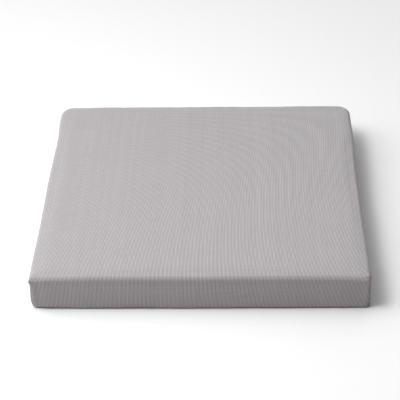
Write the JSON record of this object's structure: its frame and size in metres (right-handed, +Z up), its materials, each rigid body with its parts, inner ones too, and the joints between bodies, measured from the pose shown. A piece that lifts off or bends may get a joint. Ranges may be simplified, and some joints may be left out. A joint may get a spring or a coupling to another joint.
{
  "type": "pressure relief mattress pad",
  "caption": "Flat square foam pad in a zipped woven cover with boxed corners, a film liner and a layered foam core with a castellated middle.",
  "frame": {"origin": "centre of the underside, on the surface the pad lies on", "axes": "+Z up through the pad's thickness, -Y towards the front edge, +Y towards the back edge with the zip, +X to the right seen from the front"},
  "size_m": [0.45, 0.45, 0.05],
  "materials": {
    "cover_cloth": "matte",
    "base_cloth": "matte",
    "label_cloth": "satin",
    "zip_tape": "matte",
    "zip_coil": "satin",
    "zip_metal": "satin",
    "liner_film": "satin",
    "memory_foam": "matte",
    "core_foam": "matte",
    "firm_foam": "matte"
  },
  "bodies": {
    "pad": {"cover_top_panel": "cover_cloth", "cover_back_upper_strip": "cover_cloth", "cover_back_lower_strip": "cover_cloth", "cover_base_panel": "base_cloth", "care_label": "label_cloth", "zip_left_end_tab": "cover_cloth", "zip_right_end_tab": "cover_cloth", "zip_upper_tape": "zip_tape", "zip_lower_tape": "zip_tape", "zip_upper_coil": "zip_coil", "zip_lower_coil": "zip_coil", "zip_top_stops": "zip_metal", "zip_bottom_stop": "zip_metal", "liner_upper_film": "liner_film", "liner_lower_film": "liner_film", "memory_foam_layer": "memory_foam", "castellated_core": "core_foam", "front_edge_foam": "firm_foam", "back_edge_foam": "firm_foam", "left_edge_foam": "firm_foam", "right_edge_foam": "firm_foam", "base_foam": "firm_foam"},
    "slider": {"zip_slider": "zip_metal"},
    "puller": {"zip_puller": "zip_metal"}
  },
  "joints": [
    {"name": "zip_slide", "type": "slide", "parent": "pad", "child": "slider", "axis": [-1, 0, 0], "range_m": [0, 0.352]},
    {"name": "puller_hinge", "type": "hinge", "parent": "slider", "child": "puller", "pos_m": [0.181, 0.2223, 0.025], "axis": [0, 0, -1], "range_deg": [0, 160]}
  ]
}
